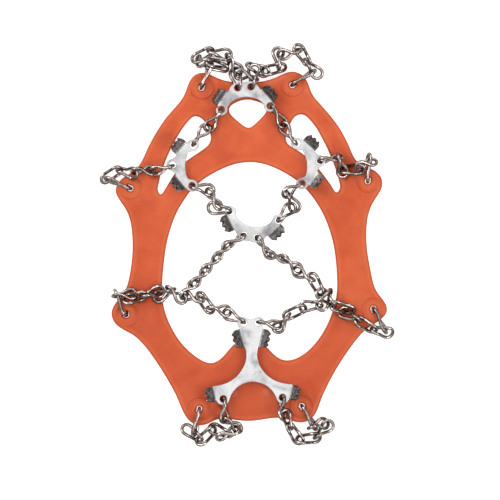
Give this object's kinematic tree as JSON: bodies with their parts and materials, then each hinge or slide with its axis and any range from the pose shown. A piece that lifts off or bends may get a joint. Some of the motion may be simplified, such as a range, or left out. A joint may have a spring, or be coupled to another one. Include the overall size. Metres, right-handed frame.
{
  "type": "shoe ice cleats",
  "caption": "Stretch elastomer harness with toothed steel plates linked by twisted-link chain, pulled over a shoe for grip on ice and packed snow",
  "frame": {"origin": "centre of the overall plan extents, on the flat underside of the harness", "axes": "+Y toe, +X right with the toe away, +Z the tooth (sole) side"},
  "size_m": [0.1656, 0.228, 0.0145],
  "materials": {
    "harness": "translucent satin",
    "plates": "tumbled bright",
    "chain": "bright drawn wire"
  },
  "bodies": {
    "harness": {"harness": "harness"},
    "toe_plate": {"toe_plate": "plates"},
    "centre_plate": {"centre_plate": "plates"},
    "forefoot_plate_left": {"forefoot_plate_left": "plates"},
    "forefoot_plate_right": {"forefoot_plate_right": "plates"},
    "heel_plate": {"heel_plate": "plates"},
    "toe_left_plate_link": {"toe_left_plate_link": "chain"},
    "toe_left_chain_1": {"toe_left_chain_1": "chain"},
    "toe_left_chain_2": {"toe_left_chain_2": "chain"},
    "toe_left_ear_link": {"toe_left_ear_link": "chain"},
    "toe_right_plate_link": {"toe_right_plate_link": "chain"},
    "toe_right_chain_1": {"toe_right_chain_1": "chain"},
    "toe_right_chain_2": {"toe_right_chain_2": "chain"},
    "toe_right_ear_link": {"toe_right_ear_link": "chain"},
    "forefoot_left_plate_link": {"forefoot_left_plate_link": "chain"},
    "forefoot_left_chain_1": {"forefoot_left_chain_1": "chain"},
    "forefoot_left_chain_2": {"forefoot_left_chain_2": "chain"},
    "forefoot_left_ear_link": {"forefoot_left_ear_link": "chain"},
    "forefoot_right_plate_link": {"forefoot_right_plate_link": "chain"},
    "forefoot_right_chain_1": {"forefoot_right_chain_1": "chain"},
    "forefoot_right_chain_2": {"forefoot_right_chain_2": "chain"},
    "forefoot_right_ear_link": {"forefoot_right_ear_link": "chain"},
    "toe_forefoot_left_upper_link": {"toe_forefoot_left_upper_link": "chain"},
    "toe_forefoot_left_lower_link": {"toe_forefoot_left_lower_link": "chain"},
    "toe_forefoot_right_upper_link": {"toe_forefoot_right_upper_link": "chain"},
    "toe_forefoot_right_lower_link": {"toe_forefoot_right_lower_link": "chain"},
    "forefoot_centre_left_plate_link": {"forefoot_centre_left_plate_link": "chain"},
    "forefoot_centre_left_chain": {"forefoot_centre_left_chain": "chain"},
    "forefoot_centre_left_centre_link": {"forefoot_centre_left_centre_link": "chain"},
    "forefoot_centre_right_plate_link": {"forefoot_centre_right_plate_link": "chain"},
    "forefoot_centre_right_chain": {"forefoot_centre_right_chain": "chain"},
    "forefoot_centre_right_centre_link": {"forefoot_centre_right_centre_link": "chain"},
    "centre_side_left_plate_link": {"centre_side_left_plate_link": "chain"},
    "centre_side_left_chain": {"centre_side_left_chain": "chain"},
    "centre_side_right_plate_link": {"centre_side_right_plate_link": "chain"},
    "centre_side_right_chain": {"centre_side_right_chain": "chain"},
    "side_ear_left_chain_1": {"side_ear_left_chain_1": "chain"},
    "side_ear_left_chain_2": {"side_ear_left_chain_2": "chain"},
    "side_ear_left_ear_link": {"side_ear_left_ear_link": "chain"},
    "side_ear_right_chain_1": {"side_ear_right_chain_1": "chain"},
    "side_ear_right_chain_2": {"side_ear_right_chain_2": "chain"},
    "side_ear_right_ear_link": {"side_ear_right_ear_link": "chain"},
    "side_heel_left_chain_1": {"side_heel_left_chain_1": "chain"},
    "side_heel_left_chain_2": {"side_heel_left_chain_2": "chain"},
    "side_heel_left_heel_link": {"side_heel_left_heel_link": "chain"},
    "side_heel_right_chain_1": {"side_heel_right_chain_1": "chain"},
    "side_heel_right_chain_2": {"side_heel_right_chain_2": "chain"},
    "side_heel_right_heel_link": {"side_heel_right_heel_link": "chain"},
    "heel_left_plate_link": {"heel_left_plate_link": "chain"},
    "heel_left_chain_1": {"heel_left_chain_1": "chain"},
    "heel_left_chain_2": {"heel_left_chain_2": "chain"},
    "heel_left_ear_link": {"heel_left_ear_link": "chain"},
    "heel_right_plate_link": {"heel_right_plate_link": "chain"},
    "heel_right_chain_1": {"heel_right_chain_1": "chain"},
    "heel_right_chain_2": {"heel_right_chain_2": "chain"},
    "heel_right_ear_link": {"heel_right_ear_link": "chain"},
    "toe_bridge_link": {"toe_bridge_link": "chain"},
    "side_ring_left": {"side_ring_left": "chain"},
    "side_ring_right": {"side_ring_right": "chain"}
  },
  "joints": [
    {"name": "toe_plate_rock", "type": "hinge", "parent": "harness", "child": "toe_plate", "pos_m": [-0.01315, 0.07775, 0.00551], "axis": [0.8392, 0.1789, -0.5136], "range_deg": [-0.53, 0.73]},
    {"name": "forefoot_plate_left_rock", "type": "hinge", "parent": "harness", "child": "forefoot_plate_left", "pos_m": [-0.02983, 0.05751, 0.00534], "axis": [-0.5446, -0.796, 0.264], "range_deg": [-0.49, 2.01]},
    {"name": "forefoot_plate_right_rock", "type": "hinge", "parent": "harness", "child": "forefoot_plate_right", "pos_m": [0.02928, 0.03311, 0.00625], "axis": [-0.0466, 0.2899, 0.9559], "range_deg": [-0.53, 1.46]},
    {"name": "centre_plate_rock", "type": "hinge", "parent": "harness", "child": "centre_plate", "pos_m": [0.01902, 0.01423, 0.00757], "axis": [-0.9946, -0.0695, 0.0775], "range_deg": [-0.86, 1.43]},
    {"name": "heel_plate_rock", "type": "hinge", "parent": "harness", "child": "heel_plate", "pos_m": [-0.00134, -0.04407, 0.00714], "axis": [0.7601, -0.6453, 0.0767], "range_deg": [-1.01, 0]},
    {"name": "forefoot_centre_left_chain_swing", "type": "hinge", "parent": "harness", "child": "forefoot_centre_left_chain", "pos_m": [-0.02096, 0.02926, 0.00377], "axis": [0.3384, -0.928, 0.1558], "range_deg": [-3.71, 13.77]},
    {"name": "forefoot_centre_right_chain_swing", "type": "hinge", "parent": "harness", "child": "forefoot_centre_right_chain", "pos_m": [0.02259, 0.02975, 0.0087], "axis": [0.4402, -0.8491, -0.292], "range_deg": [-12.83, 5.16]},
    {"name": "centre_side_left_chain_swing", "type": "hinge", "parent": "harness", "child": "centre_side_left_chain", "pos_m": [-0.01187, 0.00005, 0.00724], "axis": [-0.6814, -0.7315, -0.024], "range_deg": [-5.06, 16.88]},
    {"name": "centre_side_right_chain_swing", "type": "hinge", "parent": "harness", "child": "centre_side_right_chain", "pos_m": [0.011, -0.00513, 0.00683], "axis": [0.8068, -0.5908, -0.0033], "range_deg": [-2.29, 10.49]},
    {"name": "side_ear_left_chain_1_swing", "type": "hinge", "parent": "harness", "child": "side_ear_left_chain_1", "pos_m": [-0.03671, -0.02831, 0.01285], "axis": [-0.9831, -0.0381, -0.1791], "range_deg": [-11.48, 1.3]},
    {"name": "side_ear_right_chain_1_swing", "type": "hinge", "parent": "harness", "child": "side_ear_right_chain_1", "pos_m": [0.04914, -0.03512, 0.00722], "axis": [0.9052, -0.4153, -0.0904], "range_deg": [-18.23, 2.7]},
    {"name": "side_heel_left_chain_1_swing", "type": "hinge", "parent": "harness", "child": "side_heel_left_chain_1", "pos_m": [-0.03765, -0.0269, 0.00824], "axis": [0.9721, -0.2331, -0.0266], "range_deg": [-7.76, 2.02]},
    {"name": "side_heel_right_chain_1_swing", "type": "hinge", "parent": "harness", "child": "side_heel_right_chain_1", "pos_m": [0.04596, -0.02965, 0.00808], "axis": [-0.9473, -0.3052, 0.0976], "range_deg": [-1.69, 10.24]},
    {"name": "forefoot_left_chain_1_swing", "type": "hinge", "parent": "harness", "child": "forefoot_left_chain_1", "pos_m": [-0.05028, 0.04197, 0.00773], "axis": [-0.9568, -0.1896, -0.2203], "range_deg": [-13.84, 4.88]},
    {"name": "forefoot_right_chain_1_swing", "type": "hinge", "parent": "harness", "child": "forefoot_right_chain_1", "pos_m": [0.05487, 0.0478, 0.00959], "axis": [0.9625, 0.0053, -0.2714], "range_deg": [-29.7, 1.35]},
    {"name": "toe_left_chain_1_swing", "type": "hinge", "parent": "harness", "child": "toe_left_chain_1", "pos_m": [-0.00232, 0.09853, 0.00238], "axis": [-0.9738, 0.0995, 0.2047], "range_deg": [-23.84, 6.41]},
    {"name": "toe_right_chain_1_swing", "type": "hinge", "parent": "harness", "child": "toe_right_chain_1", "pos_m": [0.00426, 0.1009, 0.00434], "axis": [0.9921, -0.1251, 0.0072], "range_deg": [-3.04, 15.36]},
    {"name": "heel_left_chain_1_swing", "type": "hinge", "parent": "harness", "child": "heel_left_chain_1", "pos_m": [-0.01433, -0.09969, 0.00542], "axis": [-0.9881, -0.1521, -0.0249], "range_deg": [-1.01, 17.55]},
    {"name": "heel_right_chain_1_swing", "type": "hinge", "parent": "harness", "child": "heel_right_chain_1", "pos_m": [0.0189, -0.0945, 0.00866], "axis": [0.9251, -0.3705, -0.0835], "range_deg": [-14.18, 1]},
    {"name": "toe_forefoot_left_upper_link_swivel", "type": "hinge", "parent": "toe_plate", "child": "toe_forefoot_left_upper_link", "pos_m": [-0.01468, 0.0761, 0.00776], "axis": [-0.3661, -0.9115, -0.1872], "range_deg": [-11.46, 5.74]},
    {"name": "toe_forefoot_right_upper_link_swivel", "type": "hinge", "parent": "toe_plate", "child": "toe_forefoot_right_upper_link", "pos_m": [0.01416, 0.0767, 0.00796], "axis": [0.7911, -0.6087, -0.0603], "range_deg": [-10.04, 5.12]},
    {"name": "forefoot_centre_left_plate_link_swivel", "type": "hinge", "parent": "forefoot_plate_left", "child": "forefoot_centre_left_plate_link", "pos_m": [-0.02964, 0.03461, 0.007], "axis": [0.9384, -0.1206, 0.3237], "range_deg": [-0.97, 3.45]},
    {"name": "forefoot_centre_left_centre_link_swivel", "type": "hinge", "parent": "centre_plate", "child": "forefoot_centre_left_centre_link", "pos_m": [-0.01044, 0.0196, 0.00742], "axis": [-0.8372, 0.1271, 0.532], "range_deg": [-0.78, 2.77]},
    {"name": "forefoot_centre_right_plate_link_swivel", "type": "hinge", "parent": "forefoot_plate_right", "child": "forefoot_centre_right_plate_link", "pos_m": [0.03177, 0.03404, 0.00723], "axis": [-0.6828, -0.73, -0.0286], "range_deg": [-4.7, 11.59]},
    {"name": "forefoot_centre_right_centre_link_swivel", "type": "hinge", "parent": "centre_plate", "child": "forefoot_centre_right_centre_link", "pos_m": [0.01836, 0.01324, 0.00836], "axis": [0.4598, 0.8056, -0.3737], "range_deg": [-11.59, 4.7]},
    {"name": "centre_side_left_plate_link_swivel", "type": "hinge", "parent": "centre_plate", "child": "centre_side_left_plate_link", "pos_m": [-0.001, 0.00559, 0.00706], "axis": [-0.9081, -0.3959, -0.1364], "range_deg": [-2.33, 7.64]},
    {"name": "centre_side_right_plate_link_swivel", "type": "hinge", "parent": "centre_plate", "child": "centre_side_right_plate_link", "pos_m": [0.00501, 0.00453, 0.00701], "axis": [0.4947, -0.8558, -0.1512], "range_deg": [-2.12, 9.49]},
    {"name": "side_ear_left_chain_2_swivel", "type": "hinge", "parent": "side_ear_left_chain_1", "child": "side_ear_left_chain_2", "pos_m": [-0.04923, -0.02838, 0.00555], "axis": [-0.9968, -0.0302, 0.0736], "range_deg": [-1.41, 0.2]},
    {"name": "side_ear_left_ear_link_swivel", "type": "hinge", "parent": "harness", "child": "side_ear_left_ear_link", "pos_m": [-0.06957, -0.03914, 0.00332], "axis": [-0.3851, 0.8714, 0.304], "range_deg": [-0.28, 2.12]},
    {"name": "side_ear_right_chain_2_swivel", "type": "hinge", "parent": "side_ear_right_chain_1", "child": "side_ear_right_chain_2", "pos_m": [0.0602, -0.04299, 0.01052], "axis": [0.6922, -0.6793, -0.2437], "range_deg": [-1.28, 8.37]},
    {"name": "side_ear_right_ear_link_swivel", "type": "hinge", "parent": "harness", "child": "side_ear_right_ear_link", "pos_m": [0.07115, -0.03716, 0.00372], "axis": [0.6038, -0.7882, 0.1188], "range_deg": [-2.1, 13.86]},
    {"name": "side_heel_left_chain_2_swivel", "type": "hinge", "parent": "side_heel_left_chain_1", "child": "side_heel_left_chain_2", "pos_m": [-0.0222, -0.03555, 0.00645], "axis": [0.9938, 0.055, -0.0969], "range_deg": [-6.73, 1.79]},
    {"name": "side_heel_left_heel_link_swivel", "type": "hinge", "parent": "heel_plate", "child": "side_heel_left_heel_link", "pos_m": [-0.00178, -0.04351, 0.00751], "axis": [-0.9539, 0.299, 0.027], "range_deg": [-7.04, 1.87]},
    {"name": "side_heel_right_chain_2_swivel", "type": "hinge", "parent": "side_heel_right_chain_1", "child": "side_heel_right_chain_2", "pos_m": [0.03238, -0.03669, 0.00608], "axis": [-0.7499, -0.6612, 0.0239], "range_deg": [-0.48, 2.67]},
    {"name": "side_heel_right_heel_link_swivel", "type": "hinge", "parent": "heel_plate", "child": "side_heel_right_heel_link", "pos_m": [0.00616, -0.04308, 0.00647], "axis": [0.9946, -0.0397, 0.0964], "range_deg": [-3.74, 0.66]},
    {"name": "forefoot_left_chain_2_swivel", "type": "hinge", "parent": "forefoot_left_chain_1", "child": "forefoot_left_chain_2", "pos_m": [-0.0622, 0.04249, 0.00741], "axis": [-0.7807, -0.5512, -0.2945], "range_deg": [-5.7, 2.04]},
    {"name": "forefoot_left_plate_link_swivel", "type": "hinge", "parent": "forefoot_plate_left", "child": "forefoot_left_plate_link", "pos_m": [-0.0423, 0.04488, 0.00682], "axis": [-0.945, -0.3172, 0.0801], "range_deg": [-2.96, 8.31]},
    {"name": "forefoot_left_ear_link_swivel", "type": "hinge", "parent": "harness", "child": "forefoot_left_ear_link", "pos_m": [-0.06459, 0.0335, 0.0037], "axis": [-0.967, 0.2531, 0.0287], "range_deg": [-2.58, 7.23]},
    {"name": "forefoot_right_chain_2_swivel", "type": "hinge", "parent": "forefoot_right_chain_1", "child": "forefoot_right_chain_2", "pos_m": [0.05326, 0.04184, 0.00597], "axis": [0.9592, 0.2806, 0.034], "range_deg": [-13.23, 0.65]},
    {"name": "forefoot_right_plate_link_swivel", "type": "hinge", "parent": "forefoot_plate_right", "child": "forefoot_right_plate_link", "pos_m": [0.04198, 0.04728, 0.00697], "axis": [0.9204, 0.1267, 0.3699], "range_deg": [-0.85, 17.76]},
    {"name": "forefoot_right_ear_link_swivel", "type": "hinge", "parent": "harness", "child": "forefoot_right_ear_link", "pos_m": [0.07152, 0.03357, 0.00489], "axis": [-0.1288, 0.9865, 0.101], "range_deg": [-7.19, 0.37]},
    {"name": "toe_left_chain_2_swivel", "type": "hinge", "parent": "toe_left_chain_1", "child": "toe_left_chain_2", "pos_m": [-0.02783, 0.10447, 0.0033], "axis": [0.9121, -0.3884, -0.1309], "range_deg": [-1.38, 5.01]},
    {"name": "toe_left_plate_link_swivel", "type": "hinge", "parent": "toe_plate", "child": "toe_left_plate_link", "pos_m": [-0.00392, 0.09018, 0.00843], "axis": [-0.0893, 0.6667, -0.7399], "range_deg": [-3.71, 1.03]},
    {"name": "toe_left_ear_link_swivel", "type": "hinge", "parent": "harness", "child": "toe_left_ear_link", "pos_m": [-0.02372, 0.08781, 0.00408], "axis": [0.4408, 0.8971, 0.031], "range_deg": [-6.9, 1.89]},
    {"name": "toe_right_chain_2_swivel", "type": "hinge", "parent": "toe_right_chain_1", "child": "toe_right_chain_2", "pos_m": [0.01927, 0.10889, 0.00377], "axis": [0.8212, -0.5706, 0.0082], "range_deg": [-2.78, 13.88]},
    {"name": "toe_right_plate_link_swivel", "type": "hinge", "parent": "toe_plate", "child": "toe_right_plate_link", "pos_m": [0.00483, 0.08987, 0.00733], "axis": [-0.0101, 0.9768, -0.2138], "range_deg": [-13.88, 2.78]},
    {"name": "toe_right_ear_link_swivel", "type": "hinge", "parent": "harness", "child": "toe_right_ear_link", "pos_m": [0.02604, 0.08725, 0.00289], "axis": [0.6382, 0.7584, 0.1324], "range_deg": [-2.78, 13.88]},
    {"name": "heel_left_chain_2_swivel", "type": "hinge", "parent": "heel_left_chain_1", "child": "heel_left_chain_2", "pos_m": [-0.01491, -0.10605, 0.00385], "axis": [-0.9981, -0.0228, -0.0568], "range_deg": [-4.42, 0.3]},
    {"name": "heel_left_plate_link_swivel", "type": "hinge", "parent": "heel_plate", "child": "heel_left_plate_link", "pos_m": [-0.01375, -0.08708, 0.0063], "axis": [-0.1498, -0.9843, -0.0934], "range_deg": [-0.58, 9.3]},
    {"name": "heel_left_ear_link_swivel", "type": "hinge", "parent": "harness", "child": "heel_left_ear_link", "pos_m": [-0.02807, -0.09051, 0.00453], "axis": [-0.3999, -0.9163, -0.0225], "range_deg": [-4.93, 0.33]},
    {"name": "heel_right_chain_2_swivel", "type": "hinge", "parent": "heel_right_chain_1", "child": "heel_right_chain_2", "pos_m": [0.02856, -0.11048, 0.00309], "axis": [0.5611, 0.822, 0.0968], "range_deg": [-12.81, 0.95]},
    {"name": "heel_right_plate_link_swivel", "type": "hinge", "parent": "heel_plate", "child": "heel_right_plate_link", "pos_m": [0.01732, -0.0854, 0.00781], "axis": [-0.2927, -0.9549, -0.0505], "range_deg": [-8.96, 0.68]},
    {"name": "heel_right_ear_link_swivel", "type": "hinge", "parent": "harness", "child": "heel_right_ear_link", "pos_m": [0.02828, -0.09255, 0.00441], "axis": [0.5199, -0.8323, -0.1924], "range_deg": [-12.12, 0.9]},
    {"name": "toe_forefoot_left_lower_link_swivel", "type": "hinge", "parent": "forefoot_plate_left", "child": "toe_forefoot_left_lower_link", "pos_m": [-0.0215, 0.06644, 0.00642], "axis": [-0.5889, -0.7767, -0.2234], "range_deg": [-4.21, 2.13]},
    {"name": "toe_forefoot_right_lower_link_swivel", "type": "hinge", "parent": "forefoot_plate_right", "child": "toe_forefoot_right_lower_link", "pos_m": [0.02226, 0.06644, 0.00645], "axis": [0.4605, -0.8876, -0.0133], "range_deg": [-3.7, 1.91]},
    {"name": "side_ring_left_swivel", "type": "hinge", "parent": "harness", "child": "side_ring_left", "pos_m": [-0.03107, -0.02178, 0.00614], "axis": [-0.5853, -0.7473, 0.3145], "range_deg": [-6.35, 1.94]},
    {"name": "side_ring_right_swivel", "type": "hinge", "parent": "harness", "child": "side_ring_right", "pos_m": [0.04072, -0.02743, 0.00665], "axis": [0.7135, -0.6989, 0.0492], "range_deg": [-1.42, 6.3]},
    {"name": "toe_bridge_link_swivel", "type": "hinge", "parent": "harness", "child": "toe_bridge_link", "pos_m": [-0.00213, 0.0969, 0.00544], "axis": [0.9797, -0.1946, -0.0487], "range_deg": [-7.73, 2.12]}
  ],
  "couplings": [
    {"joint": "forefoot_centre_left_plate_link_swivel", "follows": "forefoot_centre_left_chain_swing", "ratio": 0.24694},
    {"joint": "forefoot_centre_left_centre_link_swivel", "follows": "forefoot_centre_left_chain_swing", "ratio": 0.19755},
    {"joint": "forefoot_centre_right_plate_link_swivel", "follows": "forefoot_centre_right_chain_swing", "ratio": -0.9},
    {"joint": "forefoot_centre_right_centre_link_swivel", "follows": "forefoot_centre_right_chain_swing", "ratio": 0.9},
    {"joint": "centre_side_left_plate_link_swivel", "follows": "centre_side_left_chain_swing", "ratio": 0.45},
    {"joint": "centre_side_right_plate_link_swivel", "follows": "centre_side_right_chain_swing", "ratio": 0.9},
    {"joint": "side_ear_left_chain_2_swivel", "follows": "side_ear_left_chain_1_swing", "ratio": 0.11825},
    {"joint": "side_ear_left_ear_link_swivel", "follows": "side_ear_left_chain_1_swing", "ratio": -0.18},
    {"joint": "side_ear_right_chain_2_swivel", "follows": "side_ear_right_chain_1_swing", "ratio": -0.4566},
    {"joint": "side_ear_right_ear_link_swivel", "follows": "side_ear_right_chain_1_swing", "ratio": -0.75755},
    {"joint": "side_heel_left_chain_2_swivel", "follows": "side_heel_left_chain_1_swing", "ratio": 0.86087},
    {"joint": "side_heel_left_heel_link_swivel", "follows": "side_heel_left_chain_1_swing", "ratio": 0.9},
    {"joint": "side_heel_right_chain_2_swivel", "follows": "side_heel_right_chain_1_swing", "ratio": 0.25568},
    {"joint": "side_heel_right_heel_link_swivel", "follows": "side_heel_right_chain_1_swing", "ratio": -0.36},
    {"joint": "forefoot_left_chain_2_swivel", "follows": "forefoot_left_chain_1_swing", "ratio": 0.40857},
    {"joint": "forefoot_left_plate_link_swivel", "follows": "forefoot_left_chain_1_swing", "ratio": -0.59714},
    {"joint": "forefoot_left_ear_link_swivel", "follows": "forefoot_left_chain_1_swing", "ratio": -0.51857},
    {"joint": "forefoot_right_chain_2_swivel", "follows": "forefoot_right_chain_1_swing", "ratio": 0.4437},
    {"joint": "forefoot_right_plate_link_swivel", "follows": "forefoot_right_chain_1_swing", "ratio": -0.59622},
    {"joint": "forefoot_right_ear_link_swivel", "follows": "forefoot_right_chain_1_swing", "ratio": 0.24034},
    {"joint": "toe_left_chain_2_swivel", "follows": "toe_left_chain_1_swing", "ratio": -0.20811},
    {"joint": "toe_left_plate_link_swivel", "follows": "toe_left_chain_1_swing", "ratio": 0.1536},
    {"joint": "toe_left_ear_link_swivel", "follows": "toe_left_chain_1_swing", "ratio": 0.28739},
    {"joint": "toe_right_chain_2_swivel", "follows": "toe_right_chain_1_swing", "ratio": 0.9},
    {"joint": "toe_right_plate_link_swivel", "follows": "toe_right_chain_1_swing", "ratio": -0.9},
    {"joint": "toe_right_ear_link_swivel", "follows": "toe_right_chain_1_swing", "ratio": 0.9},
    {"joint": "heel_left_chain_2_swivel", "follows": "heel_left_chain_1_swing", "ratio": -0.24895},
    {"joint": "heel_left_plate_link_swivel", "follows": "heel_left_chain_1_swing", "ratio": 0.52684},
    {"joint": "heel_left_ear_link_swivel", "follows": "heel_left_chain_1_swing", "ratio": -0.27789},
    {"joint": "heel_right_chain_2_swivel", "follows": "heel_right_chain_1_swing", "ratio": 0.9},
    {"joint": "heel_right_plate_link_swivel", "follows": "heel_right_chain_1_swing", "ratio": 0.62857},
    {"joint": "heel_right_ear_link_swivel", "follows": "heel_right_chain_1_swing", "ratio": 0.85119},
    {"joint": "toe_forefoot_left_lower_link_swivel", "follows": "toe_forefoot_left_upper_link_swivel", "ratio": 0.36339},
    {"joint": "toe_forefoot_right_lower_link_swivel", "follows": "toe_forefoot_right_upper_link_swivel", "ratio": 0.36385},
    {"joint": "side_ring_left_swivel", "follows": "centre_side_left_chain_swing", "ratio": -0.37321},
    {"joint": "side_ring_right_swivel", "follows": "centre_side_right_chain_swing", "ratio": 0.59583},
    {"joint": "toe_bridge_link_swivel", "follows": "toe_left_chain_1_swing", "ratio": 0.32207}
  ]
}
